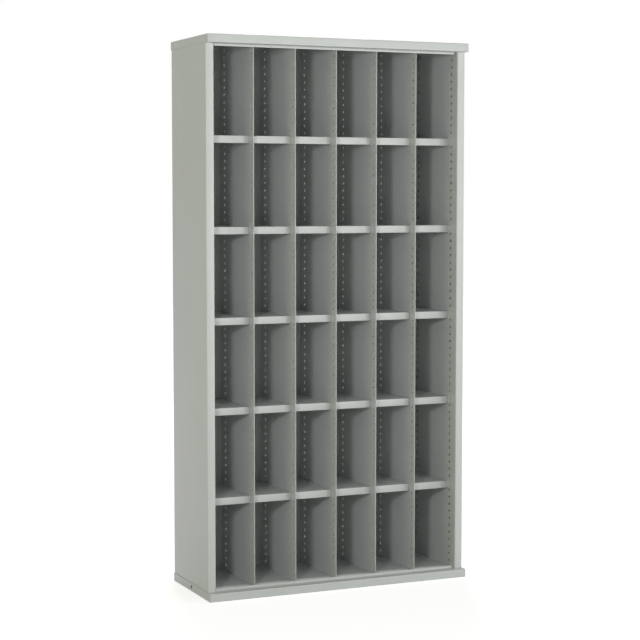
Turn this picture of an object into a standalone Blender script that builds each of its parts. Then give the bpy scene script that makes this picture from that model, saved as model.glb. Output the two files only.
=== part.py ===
"""Open steel bin cabinet: a folded-sheet carcass, dividers with studs, and pan shelves on the studs.

Metres, +Z up, front towards -Y, origin on the floor under the middle of the cabinet.
"""
import math

import bmesh
import bpy
from mathutils import Matrix

# Overall size and layout
WIDTH = 0.937
DEPTH = 0.355
HEIGHT = 1.820
COLUMNS = 6
ROWS = 6

# Gap left between sheets that are welded or seated against each other
SEAM = 0.0003

# Cap and plinth: two like trays, the cap upside down
TRAY_SHEET = 0.0015
TRAY_SKIRT = 0.0275
TRAY_NOSE = 0.025
FIXING_HOLE_DIAMETER = 0.013
FIXING_HOLE_HEIGHT = 0.015

# Side panels, back panel and front rails
PANEL_SHEET = 0.0012
FLANGE_WIDTH = 0.0277
FLANGE_RETURN = 0.015
BEND_RADIUS = 0.003
RAIL_HEIGHT = 0.035
RAIL_SETBACK = 0.013
RAIL_END_GAP = 0.005
RAIL_TO_DIVIDER = 0.0025

# Dividers and side liners, each with two columns of pressed-in studs
SHEET = 0.001
DIVIDER_SETBACK = 0.0245
HEM_DEPTH = 0.010
HEM_GAP = 0.0004
STUD_DIAMETER = 0.005
HOLE_PITCH = 0.0246
HOLES_PER_ROW = 12
FRONT_COLUMN_INSET = 0.0205
REAR_COLUMN_INSET = 0.039
CLEAT_WIDTH = 0.010
CLEAT_END_INSET = 0.015

# Shelves
LIP_INSET = 0.037
LIP_HEIGHT = 0.024
LIP_RETURN = 0.008
LIP_END_RELIEF = 0.0006
SHELF_FLANGE = 0.018
SHELF_SIDE_GAP = 0.0005
SHELF_BACK_GAP = 0.003
BASE_CLEARANCE = 0.0007
EAR_REACH = 0.008
EAR_EDGE = 0.0012
STUD_CLEARANCE = 0.0005

# Facets of holes and studs, and steps round a bend
ROUND_SIDES = 8
BEND_SEGMENTS = 3

# Neighbouring faces that turn by less than this are one flat face
FLAT_ANGLE = math.radians(1.0)

# Planes that the pieces share
TRAY_FRONT = -DEPTH / 2
TRAY_BACK = DEPTH / 2
FLOOR_Z = TRAY_SHEET + SEAM
CEILING_Z = HEIGHT - FLOOR_Z
SIDE_X = WIDTH / 2 - TRAY_SHEET - SEAM
FLANGE_Y = TRAY_FRONT + TRAY_NOSE
SIDE_BACK_Y = TRAY_BACK - TRAY_SHEET - SEAM
BACK_PANEL_Y = SIDE_BACK_Y - PANEL_SHEET - SEAM
BACK_FACE_Y = BACK_PANEL_Y - PANEL_SHEET
RETURN_X = SIDE_X - FLANGE_WIDTH
LINER_X = RETURN_X + PANEL_SHEET + SEAM + SHEET / 2
BAY_PITCH = 2 * LINER_X / COLUMNS
DIVIDER_FRONT_Y = FLANGE_Y + DIVIDER_SETBACK
DIVIDER_BACK_Y = BACK_FACE_Y - SEAM
RAIL_Y = FLANGE_Y + RAIL_SETBACK
COLUMN_YS = (DIVIDER_FRONT_Y + FRONT_COLUMN_INSET, BACK_FACE_Y - REAR_COLUMN_INSET)
LIP_Y = DIVIDER_FRONT_Y + LIP_INSET
HOLE_DIAMETER = STUD_DIAMETER + 2 * STUD_CLEARANCE
STUD_DROP = HOLE_DIAMETER / 2 + EAR_EDGE
STUD_LENGTH = 2 * (SHEET / 2 + SHELF_SIDE_GAP + SHEET)
BASE_LEVEL = FLOOR_Z + SHEET + BASE_CLEARANCE + LIP_HEIGHT
SHELF_LEVELS = [BASE_LEVEL + row * HOLES_PER_ROW * HOLE_PITCH for row in range(ROWS)]
UPRIGHT_XS = [-LINER_X + index * BAY_PITCH for index in range(COLUMNS + 1)]
SHELF_HALF_WIDTH = BAY_PITCH / 2 - SHEET / 2 - SHELF_SIDE_GAP

# Light grey powder coat
COAT_COLOUR = (0.578, 0.604, 0.571, 1.0)
COAT_ROUGHNESS = 0.45

QUARTER_TURN_ABOUT_Y = Matrix.Rotation(math.pi / 2, 4, "Y")
UPSIDE_DOWN = (0.0, math.pi, 0.0)


for old in list(bpy.data.objects):
    bpy.data.objects.remove(old, do_unlink=True)

cabinet = bpy.data.collections.new("bin_cabinet")
cutters = bpy.data.collections.new("bin_cabinet_cutters")
for collection in (cabinet, cutters):
    bpy.context.scene.collection.children.link(collection)


def powder_coat(name):
    """The light grey coat, as one material for each kind of piece."""
    material = bpy.data.materials.new(name)
    material.use_nodes = True
    shader = material.node_tree.nodes["Principled BSDF"]
    shader.inputs["Base Color"].default_value = COAT_COLOUR
    shader.inputs["Roughness"].default_value = COAT_ROUGHNESS
    shader.inputs["Metallic"].default_value = 0.0
    material.diffuse_color = COAT_COLOUR
    return material


def place(name, mesh, material, location=(0.0, 0.0, 0.0), rotation=(0.0, 0.0, 0.0)):
    """Put one named piece of the cabinet in its place."""
    if not mesh.materials:
        mesh.materials.append(material)
    piece = bpy.data.objects.new(name, mesh)
    piece.location = location
    piece.rotation_euler = rotation
    cabinet.objects.link(piece)
    return piece


def make_cutter(name, mesh):
    """A hidden tool shape for a Boolean."""
    tool = bpy.data.objects.new(name, mesh)
    tool.hide_render = True
    tool.display_type = "WIRE"
    cutters.objects.link(tool)
    return tool


def mesh_of(work, name):
    """Name the mesh built in a bmesh and free the bmesh."""
    mesh = bpy.data.meshes.new(name)
    work.to_mesh(mesh)
    work.free()
    return mesh


def baked(name, mesh, add_modifiers):
    """The mesh that is left when the modifiers of a working copy are applied."""
    piece = bpy.data.objects.new(name, mesh)
    cutters.objects.link(piece)
    add_modifiers(piece)
    graph = bpy.context.evaluated_depsgraph_get()
    result = bpy.data.meshes.new_from_object(piece.evaluated_get(graph))
    result.name = name
    bpy.data.objects.remove(piece)
    return result


def add_boxes(work, spans):
    """Boxes given by their low and high corners, which land exactly on the planes that boxes share."""
    for low, high in spans:
        cube = bmesh.ops.create_cube(work, size=1.0)
        for corner in cube["verts"]:
            corner.co = [high[axis] if corner.co[axis] > 0.0 else low[axis] for axis in range(3)]


def add_rods(work, diameter, length, centres):
    """Round rods along X."""
    for centre in centres:
        bmesh.ops.create_cone(
            work, cap_ends=True, segments=ROUND_SIDES, radius1=diameter / 2, radius2=diameter / 2,
            depth=length, matrix=Matrix.Translation(centre) @ QUARTER_TURN_ABOUT_Y)


def boxes(name, spans):
    """A mesh of boxes."""
    work = bmesh.new()
    add_boxes(work, spans)
    return mesh_of(work, name)


def rods(name, diameter, length, centres):
    """A mesh of rods along X."""
    work = bmesh.new()
    add_rods(work, diameter, length, centres)
    return mesh_of(work, name)


def boolean(piece, tool, operation):
    """Join or cut a piece with a tool shape, whose own boxes may cross each other."""
    modifier = piece.modifiers.new(operation.lower(), "BOOLEAN")
    modifier.operation = operation
    modifier.solver = "EXACT"
    modifier.use_self = operation == "UNION"
    modifier.object = tool


def folded(name, spans, studs=(), holes=None):
    """Sheet walls folded from one blank: boxes joined at the folds, then studded and pierced."""
    walls = bmesh.new()
    add_boxes(walls, spans[1:])
    add_rods(walls, STUD_DIAMETER, STUD_LENGTH, studs)
    rest = make_cutter(name + "_rest", mesh_of(walls, name + "_rest"))
    piercing = make_cutter(name + "_holes", holes) if holes else None

    def add_modifiers(piece):
        boolean(piece, rest, "UNION")
        if piercing:
            boolean(piece, piercing, "DIFFERENCE")
        flatten = piece.modifiers.new("flat faces", "DECIMATE")
        flatten.decimate_type = "DISSOLVE"
        flatten.angle_limit = FLAT_ANGLE

    return baked(name, boxes(name, spans[:1]), add_modifiers)


def ribbon(name, profile, along, sheet, bend_radius=0.0):
    """A profile drawn out along a vector, with rounded bends, thickened to the sheet's gauge."""
    work = bmesh.new()
    points = [work.verts.new(point) for point in profile]
    edges = [work.edges.new(pair) for pair in zip(points, points[1:])]
    drawn = bmesh.ops.extrude_edge_only(work, edges=edges)["geom"]
    moved = [item for item in drawn if isinstance(item, bmesh.types.BMVert)]
    bmesh.ops.translate(work, verts=moved, vec=along)

    def add_modifiers(piece):
        if bend_radius > 0.0:
            bend = piece.modifiers.new("bends", "BEVEL")
            bend.width = bend_radius
            bend.segments = BEND_SEGMENTS
        thicken = piece.modifiers.new("gauge", "SOLIDIFY")
        thicken.thickness = sheet
        thicken.offset = -1.0
        thicken.use_even_offset = True

    return baked(name, mesh_of(work, name + "_line"), add_modifiers)


def tray_walls():
    """The plate, four skirts, and the ledge that closes the nose back to the front rail."""
    half = WIDTH / 2
    tongue_half = RETURN_X - SEAM
    ledge_z = TRAY_SKIRT - TRAY_SHEET
    return [
        ((-half, TRAY_FRONT, 0.0), (half, TRAY_BACK, TRAY_SHEET)),
        ((-half, TRAY_FRONT, 0.0), (half, TRAY_FRONT + TRAY_SHEET, TRAY_SKIRT)),
        ((-half, TRAY_BACK - TRAY_SHEET, 0.0), (half, TRAY_BACK, TRAY_SKIRT)),
        ((-half, TRAY_FRONT, 0.0), (-half + TRAY_SHEET, TRAY_BACK, TRAY_SKIRT)),
        ((half - TRAY_SHEET, TRAY_FRONT, 0.0), (half, TRAY_BACK, TRAY_SKIRT)),
        ((-half, TRAY_FRONT, ledge_z), (half, FLANGE_Y - SEAM, TRAY_SKIRT)),
        ((-tongue_half, TRAY_FRONT, ledge_z), (tongue_half, RAIL_Y - SEAM, TRAY_SKIRT)),
    ]


def side_profile(side):
    """Plan of a side panel, from its rear flange round the web to the front flange and return."""
    points = [
        (RETURN_X, SIDE_BACK_Y),
        (SIDE_X, SIDE_BACK_Y),
        (SIDE_X, FLANGE_Y),
        (RETURN_X, FLANGE_Y),
        (RETURN_X, FLANGE_Y + FLANGE_RETURN),
    ]
    return [(side * x, y, FLOOR_Z) for x, y in points[::side]]


def rail_profile():
    """Section of a front rail: a foot on the tray and an upright web in front of it."""
    foot_y = DIVIDER_FRONT_Y - RAIL_TO_DIVIDER
    half = RETURN_X - RAIL_END_GAP
    return [(-half, foot_y, FLOOR_Z), (-half, RAIL_Y, FLOOR_Z), (-half, RAIL_Y, RAIL_HEIGHT)]


def stud_centres():
    """Stud places on an upright: one pair, front and rear, for each shelf level."""
    return [(0.0, y, level - STUD_DROP) for level in SHELF_LEVELS for y in COLUMN_YS]


def divider_walls():
    """A flat divider whose front edge is turned back in an open hem on its right-hand face."""
    half = SHEET / 2
    hem_low = half + HEM_GAP
    hem_high = hem_low + SHEET
    front_wall = DIVIDER_FRONT_Y + SHEET
    return [
        ((-half, DIVIDER_FRONT_Y, FLOOR_Z), (half, DIVIDER_BACK_Y, CEILING_Z)),
        ((-half, DIVIDER_FRONT_Y, FLOOR_Z), (hem_high, front_wall, CEILING_Z)),
        ((hem_low, DIVIDER_FRONT_Y, FLOOR_Z), (hem_high, DIVIDER_FRONT_Y + HEM_DEPTH, CEILING_Z)),
    ]


def liner_span():
    """A flat liner from behind the bend of the front flange to the back panel."""
    half = SHEET / 2
    front = FLANGE_Y + PANEL_SHEET + BEND_RADIUS
    return ((-half, front, FLOOR_Z), (half, DIVIDER_BACK_Y, CEILING_Z))


def cleat_profile():
    """Section of an angle cleat beside a divider's foot, low enough to pass under a shelf flange."""
    front = DIVIDER_FRONT_Y + HEM_DEPTH + CLEAT_END_INSET
    rise = BASE_LEVEL - SHELF_FLANGE - SEAM
    face = SHEET / 2 + SEAM
    return [(face, front, rise), (face, front, FLOOR_Z), (face + CLEAT_WIDTH, front, FLOOR_Z)]


def shelf_walls():
    """A pan shelf with its top at Z zero: lip, rear and side flanges, and ears out to the studs."""
    half = SHELF_HALF_WIDTH
    lip_half = half - SHEET - LIP_END_RELIEF
    back = BACK_FACE_Y - SHELF_BACK_GAP
    ear_front = COLUMN_YS[0] - EAR_REACH
    return [
        ((-half, LIP_Y, -SHEET), (half, back, 0.0)),
        ((-lip_half, LIP_Y, -LIP_HEIGHT), (lip_half, LIP_Y + SHEET, 0.0)),
        ((-lip_half, LIP_Y, -LIP_HEIGHT), (lip_half, LIP_Y + LIP_RETURN, SHEET - LIP_HEIGHT)),
        ((-lip_half, back - SHEET, -SHELF_FLANGE), (lip_half, back, 0.0)),
        ((-half, ear_front, -SHELF_FLANGE), (SHEET - half, back, 0.0)),
        ((half - SHEET, ear_front, -SHELF_FLANGE), (half, back, 0.0)),
    ]


carcass_coat = powder_coat("carcass_powder_coat")
divider_coat = powder_coat("divider_powder_coat")
shelf_coat = powder_coat("shelf_powder_coat")

# Cap and plinth, the plinth pierced by one fixing hole in each side skirt
fixing_holes = rods(
    "fixing_holes", FIXING_HOLE_DIAMETER, 2 * WIDTH, [(0.0, 0.0, FIXING_HOLE_HEIGHT)])
place("base_plinth", folded("base_plinth", tray_walls(), holes=fixing_holes), carcass_coat)
place("top_cap", folded("top_cap", tray_walls()), carcass_coat, (0.0, 0.0, HEIGHT), UPSIDE_DOWN)

# Side panels, back panel and front rails
for side_name, side in (("left", -1), ("right", 1)):
    panel = ribbon(
        side_name + "_side_panel", side_profile(side), (0.0, 0.0, CEILING_Z - FLOOR_Z),
        PANEL_SHEET, BEND_RADIUS)
    place(side_name + "_side_panel", panel, carcass_coat)

back_half = SIDE_X - PANEL_SHEET - BEND_RADIUS
back_span = ((-back_half, BACK_FACE_Y, FLOOR_Z), (back_half, BACK_PANEL_Y, CEILING_Z))
place("back_panel", boxes("back_panel", [back_span]), carcass_coat)

rail = ribbon("front_rail", rail_profile(), (2 * (RETURN_X - RAIL_END_GAP), 0.0, 0.0), PANEL_SHEET)
place("bottom_front_rail", rail, carcass_coat)
place("top_front_rail", rail, carcass_coat, (0.0, 0.0, HEIGHT), UPSIDE_DOWN)

# Uprights: a liner at each side and the dividers between the bays
liner = folded("liner", [liner_span()], stud_centres())
place("left_liner", liner, divider_coat, (UPRIGHT_XS[0], 0.0, 0.0))
place("right_liner", liner, divider_coat, (UPRIGHT_XS[-1], 0.0, 0.0))

divider = folded("divider", divider_walls(), stud_centres())
cleat_length = DIVIDER_BACK_Y - DIVIDER_FRONT_Y - HEM_DEPTH - 2 * CLEAT_END_INSET
cleat = ribbon("cleat", cleat_profile(), (0.0, cleat_length, 0.0), SHEET)
for number, x in enumerate(UPRIGHT_XS[1:-1], start=1):
    place(f"divider_{number}", divider, divider_coat, (x, 0.0, 0.0))
    place(f"bottom_cleat_{number}", cleat, divider_coat, (x, 0.0, 0.0))
    place(f"top_cleat_{number}", cleat, divider_coat, (x, 0.0, HEIGHT), UPSIDE_DOWN)

# One pan shelf in every bay, its ears sprung over the studs
ear_holes = rods("ear_holes", HOLE_DIAMETER, 2 * BAY_PITCH, [(0.0, y, -STUD_DROP) for y in COLUMN_YS])
shelf = folded("shelf", shelf_walls(), holes=ear_holes)
for row, level in enumerate(SHELF_LEVELS, start=1):
    for bay in range(COLUMNS):
        middle = UPRIGHT_XS[bay] + BAY_PITCH / 2
        place(f"shelf_row{row}_bay{bay + 1}", shelf, shelf_coat, (middle, 0.0, level))
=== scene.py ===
"""Dresses the open steel bin cabinet: every sheet gets its real bends, holes and powder coat.

Metres, +Z up, front towards -Y.  Sheets are worked out as a skin, which is the face that is seen, and are
then closed to their gauge.
"""

import bpy
import numpy as np
from mathutils import Matrix, Vector


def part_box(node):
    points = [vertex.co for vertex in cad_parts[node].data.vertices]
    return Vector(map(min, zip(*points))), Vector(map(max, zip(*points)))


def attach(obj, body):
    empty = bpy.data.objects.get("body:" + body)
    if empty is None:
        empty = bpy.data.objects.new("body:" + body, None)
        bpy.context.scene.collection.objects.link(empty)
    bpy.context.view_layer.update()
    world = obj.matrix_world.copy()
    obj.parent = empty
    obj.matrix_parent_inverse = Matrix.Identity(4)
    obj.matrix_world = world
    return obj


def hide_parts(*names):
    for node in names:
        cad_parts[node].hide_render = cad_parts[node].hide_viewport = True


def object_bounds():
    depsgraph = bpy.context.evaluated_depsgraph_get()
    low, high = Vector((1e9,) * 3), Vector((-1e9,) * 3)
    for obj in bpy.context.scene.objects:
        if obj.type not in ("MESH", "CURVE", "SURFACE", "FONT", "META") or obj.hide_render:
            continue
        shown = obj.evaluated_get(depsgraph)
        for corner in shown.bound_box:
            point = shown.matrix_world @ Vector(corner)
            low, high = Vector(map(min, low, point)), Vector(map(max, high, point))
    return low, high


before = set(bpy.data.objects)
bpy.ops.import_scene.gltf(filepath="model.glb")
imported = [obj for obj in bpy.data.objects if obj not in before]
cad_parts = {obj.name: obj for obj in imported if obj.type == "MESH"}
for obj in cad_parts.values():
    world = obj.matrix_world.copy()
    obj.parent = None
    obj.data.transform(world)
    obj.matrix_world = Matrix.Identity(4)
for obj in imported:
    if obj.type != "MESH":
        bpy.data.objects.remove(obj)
cad_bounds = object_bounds()

# Plinth
# A tray of 1.5 mm steel with its skirts folded up, welded and ground at the corners.  The front skirt folds
# back again as a ledge up to the side flanges and the front rail.  Each end has one hole for a fixing bolt.
SEAM = 0.0003
TRAY_GAUGE = 0.0015
TRAY_BEND = 0.0022
TRAY_CORNER = 0.0030
TONGUE_TAPER = 0.0004
BEND_STEPS = 5
HOLE_SIDES = 12
FIXING_HOLE_RADIUS = 0.0065
FIXING_HOLE_HEIGHT = 0.015
FIXING_CELL = 0.0078
WELD_GRID = 1e-6
SHARP_ANGLE = np.radians(40.0)
COAT_COLOUR = np.array([0.550, 0.571, 0.561])
COAT_SPECULAR = 0.5
NOISE_OFFSET = np.array([1.0, 0.37, -1.0])
RAMP_STOPS = (0.3, 0.7)
TONE_SCALE = 3.5
TONE_LOW = 0.975
TONE_HIGH = 1.025
SPECKLE_SCALE = 620.0
SPECKLE_LOW = 0.975
GLOSS_SCALE = 28.0
ROUGHNESS_LOW = 0.32
ROUGHNESS_HIGH = 0.38
PEEL_SCALE = 850.0
PEEL_STRENGTH = 0.12
PEEL_DEPTH = 0.0002
CELL_MARKS = np.array([-1.0, -1.0 / 3.0, 1.0 / 3.0, 1.0])
RING_START = np.radians(225.0)
CELL_ROWS = np.array([0, 0, 0, 0, 1, 2, 3, 3, 3, 3, 2, 1])
CELL_COLUMNS = np.array([0, 1, 2, 3, 3, 3, 3, 2, 1, 0, 0, 0])


def quads_of(index):
    """Quads between the neighbouring rows and columns of an array of point numbers."""
    return np.stack([index[:-1, :-1], index[:-1, 1:], index[1:, 1:], index[1:, :-1]], -1).reshape(-1, 4)


def patch(points, normals, cells=(), radius=0.0):
    """A grid of points as one patch of a skin, with a round hole in each 3 by 3 block of quads that is named.

    The 12 points round a block are joined to 12 points of a circle, 30 degrees apart:
    centre + radius * (cos(turn) * direction of the columns + sin(turn) * direction of the rows).
    """
    normals = np.broadcast_to(normals, points.shape)
    index = np.arange(points.shape[0] * points.shape[1]).reshape(points.shape[:2])
    points, normals = points.reshape(-1, 3), normals.reshape(-1, 3)
    quads = quads_of(index)
    if len(cells) == 0:
        return points, normals, [quads]
    row, column = np.asarray(cells).T
    keep = np.ones((index.shape[0] - 1, index.shape[1] - 1), bool)
    block_row, block_column = np.mgrid[0:3, 0:3]
    keep[row[:, None, None] + block_row, column[:, None, None] + block_column] = False
    ring = index[row[:, None] + CELL_ROWS, column[:, None] + CELL_COLUMNS]
    corners = points[ring[:, ::3]]
    across = corners[:, 1] - corners[:, 0]
    across /= np.linalg.norm(across, axis=1, keepdims=True)
    along = corners[:, 3] - corners[:, 0]
    along /= np.linalg.norm(along, axis=1, keepdims=True)
    turn = RING_START + np.arange(HOLE_SIDES) * 2.0 * np.pi / HOLE_SIDES
    spoke = np.cos(turn)[None, :, None] * across[:, None] + np.sin(turn)[None, :, None] * along[:, None]
    circle = corners.mean(1, keepdims=True) + np.reshape(radius, (-1, 1, 1)) * spoke
    number = len(points) + np.arange(len(row) * HOLE_SIDES).reshape(-1, HOLE_SIDES)
    border = np.stack([ring, np.roll(ring, -1, 1), np.roll(number, -1, 1), number], -1).reshape(-1, 4)
    points = np.concatenate([points, circle.reshape(-1, 3)])
    normals = np.concatenate([normals, normals[ring].reshape(-1, 3)])
    return points, normals, [quads[keep.ravel()], border]


def mirrored(skin, axis, plane=0.0):
    """The same patch on the other side of a plane across one axis."""
    points, normals, faces = skin
    points, normals = points.copy(), normals.copy()
    points[:, axis] = 2.0 * plane - points[:, axis]
    normals[:, axis] = -normals[:, axis]
    return points, normals, [group[:, ::-1] for group in faces]


def closed_sheet(gauge, *skins):
    """Patches welded into one skin, and its copy moved inwards, joined round every free edge.

    Inner point = skin point - gauge * outward normal.  A free edge is one that a single face uses.
    """
    starts = np.cumsum([0] + [len(skin[0]) for skin in skins])
    points = np.concatenate([skin[0] for skin in skins])
    normals = np.concatenate([skin[1] for skin in skins])
    spots = np.round(points / WELD_GRID).astype(np.int64)
    _, first, weld = np.unique(spots, axis=0, return_index=True, return_inverse=True)
    weld = weld.ravel()
    faces = [weld[group + start] for skin, start in zip(skins, starts) for group in skin[2]]
    points, normals = points[first], normals[first]
    edges = np.concatenate([np.stack([group, np.roll(group, -1, 1)], -1).reshape(-1, 2) for group in faces])
    _, place, uses = np.unique(np.sort(edges, 1), axis=0, return_index=True, return_counts=True)
    free = edges[place[uses == 1]]
    count = len(points)
    rim = np.stack([free[:, 1], free[:, 0], free[:, 0] + count, free[:, 1] + count], -1)
    inner = [group[:, ::-1] + count for group in faces]
    return np.concatenate([points, points - gauge * normals]), faces + inner + [rim]


def powder_coat(name, drift):
    """Semi-gloss powder coat: a faint drift of tone, fine speckle, uneven gloss and an orange-peel skin."""
    material = bpy.data.materials.new(name)
    material.use_nodes = True
    nodes, links = material.node_tree.nodes, material.node_tree.links
    shader = nodes["Principled BSDF"]
    place = nodes.new("ShaderNodeTexCoord")
    moved = nodes.new("ShaderNodeMapping")
    moved.inputs["Location"].default_value = drift * NOISE_OFFSET
    links.new(place.outputs["Object"], moved.inputs["Vector"])

    def noise(scale, detail):
        """Noise in the piece's own space, moved by the drift."""
        node = nodes.new("ShaderNodeTexNoise")
        node.inputs["Scale"].default_value = scale
        node.inputs["Detail"].default_value = detail
        links.new(moved.outputs["Vector"], node.inputs["Vector"])
        return node.outputs["Fac"]

    def ramp(source, low, high):
        """The noise stretched from a low colour to a high one."""
        node = nodes.new("ShaderNodeValToRGB")
        for stop, position, colour in zip(node.color_ramp.elements, RAMP_STOPS, (low, high)):
            stop.position = position
            stop.color = (*colour, 1.0)
        links.new(source, node.inputs["Fac"])
        return node.outputs["Color"]

    tone = ramp(noise(TONE_SCALE, 4.0), COAT_COLOUR * TONE_LOW, COAT_COLOUR * TONE_HIGH)
    speckle = ramp(noise(SPECKLE_SCALE, 2.0), np.full(3, SPECKLE_LOW), np.ones(3))
    gloss = ramp(noise(GLOSS_SCALE, 3.0), np.full(3, ROUGHNESS_LOW), np.full(3, ROUGHNESS_HIGH))
    mix = nodes.new("ShaderNodeMix")
    mix.data_type = "RGBA"
    mix.blend_type = "MULTIPLY"
    mix.inputs["Factor"].default_value = 1.0
    links.new(tone, mix.inputs["A"])
    links.new(speckle, mix.inputs["B"])
    links.new(mix.outputs["Result"], shader.inputs["Base Color"])
    links.new(gloss, shader.inputs["Roughness"])
    shader.inputs["Specular IOR Level"].default_value = COAT_SPECULAR
    peel = nodes.new("ShaderNodeBump")
    peel.inputs["Strength"].default_value = PEEL_STRENGTH
    peel.inputs["Distance"].default_value = PEEL_DEPTH
    links.new(noise(PEEL_SCALE, 1.0), peel.inputs["Height"])
    links.new(peel.outputs["Normal"], shader.inputs["Normal"])
    return material


def add_piece(name, points, faces, coat, slot, *nodes):
    """Puts closed faces into an object that rides on the cabinet and stands for the named nodes."""
    mesh = bpy.data.meshes.new(name)
    mesh.from_pydata(points.tolist(), [], [face for group in faces for face in group.tolist()])
    mesh.shade_smooth()
    mesh.set_sharp_from_angle(angle=SHARP_ANGLE)
    mesh.materials.append(coat)
    piece = bpy.data.objects.new(name, mesh)
    bpy.context.scene.collection.objects.link(piece)
    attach(piece, "root")
    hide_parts(*nodes)


def tray(low, high, fixing_holes):
    """Patches of a tray that stands on its plate: plate, skirts and ledge.

    Skirt point = skeleton point + (corner radius - inset) * outward direction, where the inset runs through
    a quarter circle from the plate up to the skirt.  The ledge runs through another one at the front.
    """
    half, front, back, height = high[0], low[1], high[1], high[2] - low[2]
    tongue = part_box("right_side_panel")[0][0] - SEAM
    ledge_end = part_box("right_side_panel")[0][1] - SEAM
    tongue_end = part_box("bottom_front_rail")[0][1] - SEAM
    quarter = np.linspace(0.0, 0.5 * np.pi, BEND_STEPS + 1)
    reach_x, reach_front, reach_back = half - TRAY_CORNER, front + TRAY_CORNER, back - TRAY_CORNER
    front_x = np.array([-tongue - TONGUE_TAPER, -tongue, tongue, tongue + TONGUE_TAPER])
    side_y = FIXING_CELL * CELL_MARKS
    stretches = (
        (-reach_x, reach_front, np.pi + quarter),
        (front_x, reach_front, np.full(len(front_x), 1.5 * np.pi)),
        (reach_x, reach_front, 1.5 * np.pi + quarter),
        (reach_x, side_y, np.zeros(len(side_y))),
        (reach_x, reach_back, quarter),
        (-reach_x, reach_back, 0.5 * np.pi + quarter),
        (-reach_x, -side_y, np.full(len(side_y), np.pi)),
    )
    x, y, turn = np.concatenate([np.broadcast_arrays(*stretch) for stretch in stretches], 1)
    outward = np.stack([np.cos(turn), np.sin(turn)], -1)
    upright_rows = np.zeros(len(side_y) + 1)
    tilt = np.concatenate([quarter[::-1], upright_rows])
    inset = np.concatenate([TRAY_BEND * (1.0 - np.cos(quarter[::-1])), upright_rows])
    rise = np.concatenate([
        TRAY_BEND * (1.0 - np.sin(quarter[::-1])),
        FIXING_HOLE_HEIGHT + side_y,
        [height],
    ])
    first = BEND_STEPS
    last = first + len(front_x) + 1
    right_cell = 2 * len(quarter) + len(front_x)
    left_cell = right_cell + len(side_y) + 2 * len(quarter)
    skirt = np.empty((len(rise), len(x), 3))
    skirt[..., :2] = np.stack([x, y], -1) + (TRAY_CORNER - inset)[:, None, None] * outward
    skirt[..., 2] = rise[:, None]
    skirt[-1, first:last + 1, 2] = height - TRAY_BEND
    facing = np.empty_like(skirt)
    facing[..., :2] = np.cos(tilt)[:, None, None] * outward
    facing[..., 2] = -np.sin(tilt)[:, None]
    plate = skirt[0], facing[0], [np.arange(len(x))[None, ::-1]]
    holes = [(len(quarter), right_cell), (len(quarter), left_cell)] if fixing_holes else ()
    closing = np.concatenate([skirt, skirt[:, :1]], 1), np.concatenate([facing, facing[:, :1]], 1)
    ledge_x = skirt[0, first:last + 1, 0]
    wide_x = ledge_x.copy()
    wide_x[[0, -1]] = np.array([-1.0, 1.0]) * (half - TRAY_GAUGE - SEAM)
    ledge = np.empty((BEND_STEPS + 3, len(ledge_x), 3))
    ledge[:-2, :, 0] = ledge_x
    ledge[-2:, :, 0] = wide_x
    ledge[:-2, :, 1] = (front + TRAY_BEND * (1.0 - np.cos(quarter)))[:, None]
    ledge[-2, :, 1] = front + 2.0 * TRAY_BEND
    ledge[-1, :, 1] = np.where(np.abs(ledge_x) <= tongue, tongue_end, ledge_end)
    ledge[:-2, :, 2] = (height - TRAY_BEND + TRAY_BEND * np.sin(quarter))[:, None]
    ledge[-2:, :, 2] = height
    bend = np.concatenate([quarter, [0.5 * np.pi, 0.5 * np.pi]])
    ledge_facing = np.stack([np.zeros_like(bend), -np.cos(bend), np.sin(bend)], -1)[:, None]
    return plate, patch(*closing, holes, FIXING_HOLE_RADIUS), patch(ledge, ledge_facing)


carcass_coat = powder_coat("carcass_coat", 0.0)
plinth = tray(*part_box("base_plinth"), True)
add_piece("plinth_tray", *closed_sheet(TRAY_GAUGE, *plinth), carcass_coat, "carcass_coat", "base_plinth")

# Side panels
# One sheet of 1.2 mm steel to a side, folded to a front flange with a return and to a rear flange that the
# back panel is welded to.  They stand in the plinth, carry the cap, and clear the plinth's fixing holes.
PANEL_GAUGE = 0.0012
PANEL_BEND = 0.0030
CLEARANCE_HOLE_RADIUS = 0.0105
CLEARANCE_CELL = 0.012
FLANGE_RETURN = 0.015


def folded_line(corners, bend, gauge):
    """Points and outward normals along a line of right-angled folds, with the metal on its left.

    Each corner gives way to a quarter circle.  Its radius is the bend where the line turns towards the metal,
    and the bend less the gauge where it turns away.
    """
    corners = np.asarray(corners, float)
    along = np.diff(corners, axis=0)
    along /= np.linalg.norm(along, axis=1, keepdims=True)
    left = np.stack([-along[:, 1], along[:, 0]], -1)
    quarter = np.linspace(0.0, 0.5 * np.pi, BEND_STEPS + 1)[:, None]
    points, normals = [corners[:1]], [-left[:1]]
    for corner, before, side, after in zip(corners[1:-1], along[:-1], left[:-1], along[1:]):
        towards = np.sign(side @ after)
        radius = bend if towards > 0.0 else bend - gauge
        spoke = -towards * np.cos(quarter) * side + np.sin(quarter) * before
        points.append(corner + radius * (towards * side - before) + radius * spoke)
        normals.append(towards * spoke)
    return np.concatenate(points + [corners[-1:]]), np.concatenate(normals + [-left[-1:]])


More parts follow.
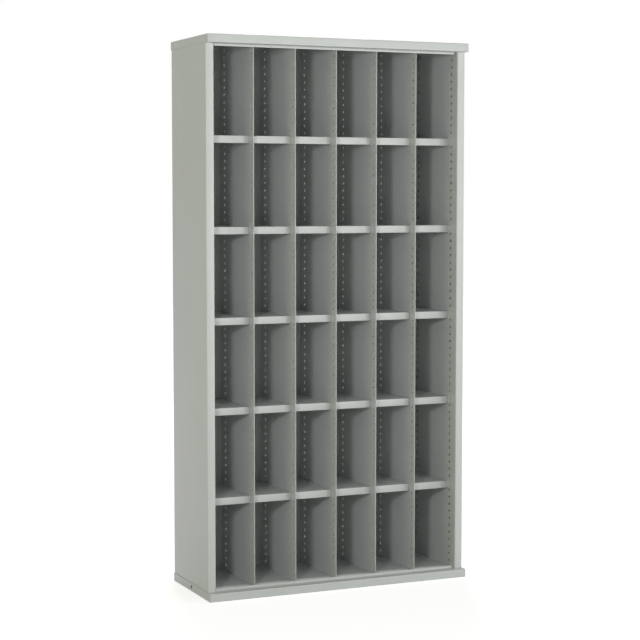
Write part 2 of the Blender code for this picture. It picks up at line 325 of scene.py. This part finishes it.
def side_panel(low, high):
    """Patch of the right-hand panel, from its front return round the outside to its rear flange.

    The line is carried up through the rows of a clearance hole behind the plinth's fixing hole.
    """
    corners = [
        (low[0], low[1] + FLANGE_RETURN),
        (low[0], low[1]),
        (high[0], low[1]),
        (high[0], high[1]),
        (low[0], high[1]),
    ]
    line, normals = folded_line(corners, PANEL_BEND, PANEL_GAUGE)
    cell = CLEARANCE_CELL * CELL_MARKS
    before_web = 1 + 2 * (BEND_STEPS + 1)
    line = np.insert(line, before_web, np.stack([np.full(len(cell), high[0]), cell], -1), axis=0)
    normals = np.insert(normals, before_web, np.tile([1.0, 0.0], (len(cell), 1)), axis=0)
    rows = np.concatenate([[low[2]], FIXING_HOLE_HEIGHT + cell, [high[2]]])
    points = np.empty((len(rows), len(line), 3))
    points[..., :2] = line
    points[..., 2] = rows[:, None]
    facing = np.concatenate([normals, np.zeros((len(normals), 1))], 1)
    return patch(points, facing, [(1, before_web)], CLEARANCE_HOLE_RADIUS)


right_side = side_panel(*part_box("right_side_panel"))
for name, skin in (("left", mirrored(right_side, 0)), ("right", right_side)):
    sheet = closed_sheet(PANEL_GAUGE, skin)
    add_piece(f"side_panel_{name}", *sheet, carcass_coat, "carcass_coat", f"{name}_side_panel")

# Front rails
# Two angles of 1.2 mm steel behind the front flanges, welded to the plinth and the cap by their feet.  They
# stop short of the side panels' returns.
RAIL_BEND = 0.0022


def carried(line, normals, start, end, axes):
    """A patch that carries a line straight along the last axis; a point's two values go to the first two."""
    points = np.zeros((2, len(line), 3))
    facing = np.zeros((len(line), 3))
    points[..., axes[0]], points[..., axes[1]] = line.T
    points[..., axes[2]] = np.array([[start], [end]])
    facing[:, axes[0]], facing[:, axes[1]] = normals.T
    return patch(points, facing)


def front_rail(low, high):
    """Patch of the bottom rail, down its face and back along the underside of its foot."""
    corners = [(low[1], high[2]), (low[1], low[2]), (high[1], low[2])]
    return carried(*folded_line(corners, RAIL_BEND, PANEL_GAUGE), low[0], high[0], (1, 2, 0))


bottom_rail = front_rail(*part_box("bottom_front_rail"))
middle_height = 0.5 * (cad_bounds[0][2] + cad_bounds[1][2])
for name, skin in (("bottom", bottom_rail), ("top", mirrored(bottom_rail, 2, middle_height))):
    sheet = closed_sheet(PANEL_GAUGE, skin)
    add_piece(f"front_rail_{name}", *sheet, carcass_coat, "carcass_coat", f"{name}_front_rail")

# Back panel
# One flat sheet of 1.2 mm steel, spot-welded to the rear flanges of the side panels.  Its solid is right as
# it is and only takes the coat.
for material_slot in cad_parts["back_panel"].material_slots:
    material_slot.material = carcass_coat

# Liners and dividers
# Sheets of 1 mm steel with two columns of round holes for moving the shelves, and a stud pressed into the
# hole at each shelf level.  A divider's front edge is folded to a hem; a liner lines a side panel inside.
UPRIGHT_GAUGE = 0.001
HEM_WIDTH = 0.0024
HEM_DEPTH = 0.010
HEM_BEND = 0.00115
HOLE_RADIUS = 0.00425
BAYS = 6
SHELF_LEVELS = 6
HOLES_PER_LEVEL = 12
HOLE_ROWS = 73
HOLE_STRIP = 0.012
FRONT_HOLES_Y = -0.1075
REAR_HOLES_Y = 0.134
STUD_DROP = 0.0042
STUD_RADIUS = 0.0025
STUD_FIT = 0.0001
STUD_HALF = 0.0020
STUD_CHAMFER = 0.0003


def studs(centres):
    """Closed pins turned about the X axis: a ring of points at each of four stations, and two end faces."""
    station = np.array([-STUD_HALF, STUD_CHAMFER - STUD_HALF, STUD_HALF - STUD_CHAMFER, STUD_HALF])
    radius = STUD_RADIUS - np.array([STUD_CHAMFER, 0.0, 0.0, STUD_CHAMFER])
    turn = np.arange(HOLE_SIDES) * 2.0 * np.pi / HOLE_SIDES
    pin = np.empty((len(station), HOLE_SIDES, 3))
    pin[..., 0] = station[:, None]
    pin[..., 1] = radius[:, None] * np.cos(turn)
    pin[..., 2] = radius[:, None] * np.sin(turn)
    ring = np.arange(len(station) * HOLE_SIDES).reshape(-1, HOLE_SIDES)
    around = quads_of(np.concatenate([ring, ring[:, :1]], 1))
    ends = np.stack([ring[0, ::-1], ring[-1]])
    step = np.arange(len(centres))[:, None, None] * ring.size
    points = centres[:, None, None] + pin
    return points.reshape(-1, 3), [(around + step).reshape(-1, 4), (ends + step).reshape(-1, HOLE_SIDES)]


def upright(middle, low, high, hemmed):
    """Points and faces of a perforated sheet at X = middle, closed, with its studs.

    The section's line is carried up through the rows of the holes: each hole is a circle in a 3 by 3 block.
    """
    face = middle - 0.5 * UPRIGHT_GAUGE
    corners = [(face, high[1]), (face, low[1])]
    if hemmed:
        corners += [(face + HEM_WIDTH, low[1]), (face + HEM_WIDTH, low[1] + HEM_DEPTH)]
    line, normals = folded_line(corners, HEM_BEND, UPRIGHT_GAUGE)
    strip = -HOLE_STRIP * CELL_MARKS
    rear_cell, front_cell = 1, 1 + len(strip)
    stations = np.concatenate([REAR_HOLES_Y + strip, FRONT_HOLES_Y + strip])
    flat = np.stack([np.full(len(stations), face), stations], -1)
    line = np.concatenate([line[:1], flat, line[1:]])
    normals = np.concatenate([np.repeat(normals[:1], 1 + len(stations), 0), normals[1:]])
    bottom_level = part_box("shelf_row1_bay1")[1][2]
    top_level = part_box(f"shelf_row{SHELF_LEVELS}_bay1")[1][2]
    pitch = (top_level - bottom_level) / ((SHELF_LEVELS - 1) * HOLES_PER_LEVEL)
    lowest = bottom_level - STUD_DROP
    marks = lowest - 0.5 * pitch + pitch / 3.0 * np.arange(3 * HOLE_ROWS + 1)
    rows = np.concatenate([[low[2]], marks, [high[2]]])
    points = np.empty((len(rows), len(line), 3))
    points[..., :2] = line
    points[..., 2] = rows[:, None]
    hole, column = np.meshgrid(np.arange(HOLE_ROWS), (rear_cell, front_cell), indexing="ij")
    level = (hole % HOLES_PER_LEVEL == 0) & (hole < SHELF_LEVELS * HOLES_PER_LEVEL)
    radius = np.where(level, STUD_RADIUS + STUD_FIT, HOLE_RADIUS).ravel()
    cells = np.stack([1 + 3 * hole.ravel(), column.ravel()], -1)
    facing = np.concatenate([normals, np.zeros((len(normals), 1))], 1)
    sheet_points, sheet_faces = closed_sheet(UPRIGHT_GAUGE, patch(points, facing, cells, radius))
    stud_y = np.where(column == rear_cell, REAR_HOLES_Y, FRONT_HOLES_Y)[level]
    stud_z = (lowest + pitch * hole)[level]
    stud_points, stud_faces = studs(np.stack([np.full(len(stud_y), middle), stud_y, stud_z], -1))
    faces = sheet_faces + [group + len(sheet_points) for group in stud_faces]
    return np.concatenate([sheet_points, stud_points]), faces


divider_coat = powder_coat("divider_coat", 5.3)
uprights = [("left_liner", "liner_sheet_left"), ("right_liner", "liner_sheet_right")]
uprights += [(f"divider_{number}", f"divider_sheet_{number}") for number in range(1, BAYS)]
bay_pitch = (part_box("right_liner")[0][0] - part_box("left_liner")[0][0]) / BAYS
liner_middle = 0.5 * (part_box("left_liner")[0][0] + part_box("left_liner")[1][0])
for node, name in uprights:
    low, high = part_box(node)
    divider = node.startswith("divider")
    middle = liner_middle + round((low[0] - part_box("left_liner")[0][0]) / bay_pitch) * bay_pitch
    add_piece(name, *upright(middle, low, high, divider), divider_coat, "divider_coat", node)

# Cleats
# Small angles of 1 mm steel at the foot and the head of each divider, welded to the plinth and the cap.
# Their solids are right as they are and only take the dividers' coat.
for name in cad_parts:
    if "_cleat_" in name:
        for material_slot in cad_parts[name].material_slots:
            material_slot.material = divider_coat

# Pan shelves
# Pressed pans of 1 mm steel, one to a bay: a front lip with a return, side and rear flanges folded down, and
# an ear in front of each side flange.  Holes in the flanges and ears are sprung over the studs.
SHELF_GAUGE = 0.001
SHELF_BEND = 0.0011
SHELF_FLANGE = 0.018
LIP_INSET = 0.037
LIP_RETURN = 0.008
LIP_RELIEF = 0.0016
EAR_HOLE_RADIUS = 0.0028
EAR_CELL = 0.0031


def pan_shelf(low, high):
    """Patches of a pan: its plate, then flanges that turn down through a quarter circle on each side."""
    middle, top = 0.5 * (low[0] + high[0]), high[2]
    half = 0.5 * (high[0] - low[0])
    lip_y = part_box("divider_1")[0][1] + LIP_INSET
    plate_half, plate_front, plate_back = half - SHELF_BEND, lip_y + SHELF_BEND, high[1] - SHELF_BEND
    lip_half = half - LIP_RELIEF
    cell = EAR_CELL * CELL_MARKS
    plate_x = np.array([-plate_half, -lip_half, lip_half, plate_half])
    plate_y = np.concatenate([[plate_front], REAR_HOLES_Y + cell, [plate_back]])
    plate = np.zeros((len(plate_y), len(plate_x), 3))
    plate[..., 0] = plate_x
    plate[..., 1] = plate_y[:, None]
    side_x, side_facing = folded_line(
        [(half, -SHELF_FLANGE), (half, 0.0), (0.0, 0.0)], SHELF_BEND, SHELF_GAUGE)
    side_x, side_facing = side_x[1:-1], side_facing[1:-1]
    rows = np.concatenate([[-SHELF_FLANGE], -STUD_DROP + cell[:3]])
    flank = np.concatenate([np.stack([np.full(len(rows), half), rows], -1), side_x])
    flank_facing = np.concatenate([np.tile([[1.0, 0.0]], (len(rows), 1)), side_facing])
    side = np.empty((len(flank), len(plate_y), 3))
    side[..., 0] = flank[:, :1]
    side[..., 1] = plate_y
    side[..., 2] = flank[:, 1:]
    facing = np.zeros((len(flank), 1, 3))
    facing[:, 0, [0, 2]] = flank_facing
    right = patch(side, facing, [(1, 1)], EAR_HOLE_RADIUS)
    ear_y = np.concatenate([[low[1]], FRONT_HOLES_Y + cell, [plate_front]])
    ear = np.empty((len(rows) + 1, len(ear_y), 3))
    ear[..., 0] = half
    ear[..., 1] = ear_y
    ear[..., 2] = flank[:len(rows) + 1, 1:]
    right_ear = patch(ear, np.array([1.0, 0.0, 0.0]), [(1, 1)], EAR_HOLE_RADIUS)
    lip_foot = low[2] - top
    lip_corners = [(0.0, 0.0), (lip_y, 0.0), (lip_y, lip_foot), (lip_y + LIP_RETURN, lip_foot)]
    lip_line, lip_facing = folded_line(lip_corners, SHELF_BEND, SHELF_GAUGE)
    lip = carried(lip_line[1:], lip_facing[1:], -lip_half, lip_half, (1, 2, 0))
    rear_line, rear_facing = folded_line(
        [(high[1], -SHELF_FLANGE), (high[1], 0.0), (0.0, 0.0)], SHELF_BEND, SHELF_GAUGE)
    rear = carried(rear_line[:-1], rear_facing[:-1], -lip_half, lip_half, (1, 2, 0))
    top_skin = patch(plate, np.array([0.0, 0.0, 1.0]))
    skins = [top_skin, right, right_ear, mirrored(right, 0), mirrored(right_ear, 0), lip, rear]
    return [(points + np.array([middle, 0.0, top]), normals, faces) for points, normals, faces in skins]


shelf_coat = powder_coat("shelf_coat", 11.7)
for node in sorted(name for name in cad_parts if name.startswith("shelf_")):
    sheet = closed_sheet(SHELF_GAUGE, *pan_shelf(*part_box(node)))
    add_piece(node.replace("shelf", "pan"), *sheet, shelf_coat, "shelf_coat", node)

# Cap
# The same tray as the plinth, upside down on top of the side panels, without the fixing holes.
cap = [mirrored(skin, 2, middle_height) for skin in tray(*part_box("base_plinth"), False)]
add_piece("cap_tray", *closed_sheet(TRAY_GAUGE, *cap), carcass_coat, "carcass_coat", "top_cap")

# Floor
# A plain white studio floor.  It keeps the cabinet's shadow, and it looks white to the camera and in the
# coat's reflections, also far away.
FLOOR_HALF = 14.0
FLOOR_PALE = 0.75
FLOOR_ROUGHNESS = 0.9
GLOW_NEAR = 0.65
GLOW_FAR = 1.0
GLOW_REACH = 4.5
GLOW_CORE = 0.7


def background_rays(tree):
    """Adds up the rays that see the white background: camera, glossy and transmission rays."""
    path = tree.nodes.new("ShaderNodeLightPath")
    total = path.outputs["Is Camera Ray"]
    for kind in ("Is Glossy Ray", "Is Transmission Ray"):
        add = tree.nodes.new("ShaderNodeMath")
        add.operation = "ADD"
        add.use_clamp = True
        tree.links.new(total, add.inputs[0])
        tree.links.new(path.outputs[kind], add.inputs[1])
        total = add.outputs["Value"]
    return total


floor_mesh = bpy.data.meshes.new("studio_floor")
floor_corners = np.array([[-1.0, -1.0, 0.0], [1.0, -1.0, 0.0], [1.0, 1.0, 0.0], [-1.0, 1.0, 0.0]])
floor_points = FLOOR_HALF * floor_corners
floor_mesh.from_pydata(floor_points.tolist(), [], [(0, 1, 2, 3)])
floor = bpy.data.objects.new("studio_floor", floor_mesh)
bpy.context.scene.collection.objects.link(floor)
floor_paint = bpy.data.materials.new("floor_paint")
floor_paint.use_nodes = True
floor_nodes, floor_links = floor_paint.node_tree.nodes, floor_paint.node_tree.links
floor_shader = floor_nodes["Principled BSDF"]
floor_shader.inputs["Base Color"].default_value = (FLOOR_PALE, FLOOR_PALE, FLOOR_PALE, 1.0)
floor_shader.inputs["Roughness"].default_value = FLOOR_ROUGHNESS
floor_shader.inputs["Specular IOR Level"].default_value = 0.0
floor_shader.inputs["Emission Color"].default_value = (1.0, 1.0, 1.0, 1.0)
floor_place = floor_nodes.new("ShaderNodeTexCoord")
floor_scale = floor_nodes.new("ShaderNodeMapping")
floor_scale.inputs["Scale"].default_value = (1.0 / GLOW_REACH, 1.0 / GLOW_REACH, 1.0)
nearness = floor_nodes.new("ShaderNodeTexGradient")
nearness.gradient_type = "SPHERICAL"
floor_glow = floor_nodes.new("ShaderNodeMapRange")
floor_glow.inputs["From Min"].default_value = 0.0
floor_glow.inputs["From Max"].default_value = GLOW_CORE
floor_glow.inputs["To Min"].default_value = GLOW_FAR
floor_glow.inputs["To Max"].default_value = GLOW_NEAR
seen_glow = floor_nodes.new("ShaderNodeMath")
seen_glow.operation = "MULTIPLY"
floor_links.new(floor_place.outputs["Object"], floor_scale.inputs["Vector"])
floor_links.new(floor_scale.outputs["Vector"], nearness.inputs["Vector"])
floor_links.new(nearness.outputs["Fac"], floor_glow.inputs["Value"])
floor_links.new(floor_glow.outputs["Result"], seen_glow.inputs[0])
floor_links.new(background_rays(floor_paint.node_tree), seen_glow.inputs[1])
floor_links.new(seen_glow.outputs["Value"], floor_shader.inputs["Emission Strength"])
floor_mesh.materials.append(floor_paint)

# Light
# A small soft box at the left front makes the shadows in the bays.  Two large ones stand at the right front
# and the right, a warm one lights the left panel, one stands behind and above, and the room is dim.
AIM = Vector((0.0, 0.0, 0.9))
ROOM = (0.10, 0.10, 0.10)


def soft_box(name, place, size, power, colour):
    """A square lamp at a place, turned to the middle of the cabinet."""
    lamp = bpy.data.lights.new(name, "AREA")
    lamp.size = size
    lamp.energy = power
    lamp.color = colour
    holder = bpy.data.objects.new(name, lamp)
    holder.location = place
    holder.rotation_euler = (AIM - Vector(place)).to_track_quat("-Z", "Y").to_euler()
    bpy.context.scene.collection.objects.link(holder)


soft_box("left_box", (-2.59, -3.43, 1.75), 0.45, 50.5, (1.0, 1.0, 1.0))
soft_box("right_box", (2.24, -5.02, 1.50), 2.4, 87.0, (0.98, 1.0, 0.96))
soft_box("side_box", (3.82, -2.38, 1.60), 1.6, 51.0, (1.0, 1.0, 1.0))
soft_box("left_sheet", (-3.80, -1.24, 2.00), 2.0, 22.0, (0.95, 1.0, 0.55))
soft_box("back_box", (0.8, 2.4, 3.6), 1.6, 75.0, (1.0, 1.0, 1.0))
world = bpy.data.worlds.new("studio_room")
world.use_nodes = True
bpy.context.scene.world = world
sky, sky_links = world.node_tree.nodes, world.node_tree.links
room = sky["Background"]
room.inputs["Color"].default_value = (*ROOM, 1.0)
white = sky.new("ShaderNodeBackground")
white.name = "White"
white.inputs["Color"].default_value = (1.0, 1.0, 1.0, 1.0)
choose = sky.new("ShaderNodeMixShader")
sky_links.new(background_rays(world.node_tree), choose.inputs["Fac"])
sky_links.new(room.outputs["Background"], choose.inputs[1])
sky_links.new(white.outputs["Background"], choose.inputs[2])
sky_links.new(choose.outputs["Shader"], sky["World Output"].inputs["Surface"])

# Camera
# At chest height in front of the cabinet's left side, worked out from the cabinet's edges in the photograph.
CAMERA_PLACE = (-2.36515, -5.29533, 1.31213)
CAMERA_YAW = np.radians(24.051)
CAMERA_PITCH = np.radians(4.174)
CAMERA_FOCAL_PIXELS = 1715.07
PICTURE_WIDTH = 640.0
SENSOR_WIDTH = 36.0
CLIP_END = 100.0
camera_data = bpy.data.cameras.new("photo_camera")
camera_data.sensor_width = SENSOR_WIDTH
camera_data.lens = CAMERA_FOCAL_PIXELS / PICTURE_WIDTH * SENSOR_WIDTH
camera_data.clip_end = CLIP_END
camera = bpy.data.objects.new("photo_camera", camera_data)
aim = Matrix.Rotation(-CAMERA_YAW, 4, "Z") @ Matrix.Rotation(0.5 * np.pi - CAMERA_PITCH, 4, "X")
camera.matrix_world = Matrix.Translation(CAMERA_PLACE) @ aim
bpy.context.scene.collection.objects.link(camera)
bpy.context.scene.camera = camera
bpy.context.scene.view_settings.view_transform = "Standard"

# Bring the scene up to date once every piece is in place
bpy.context.view_layer.update()
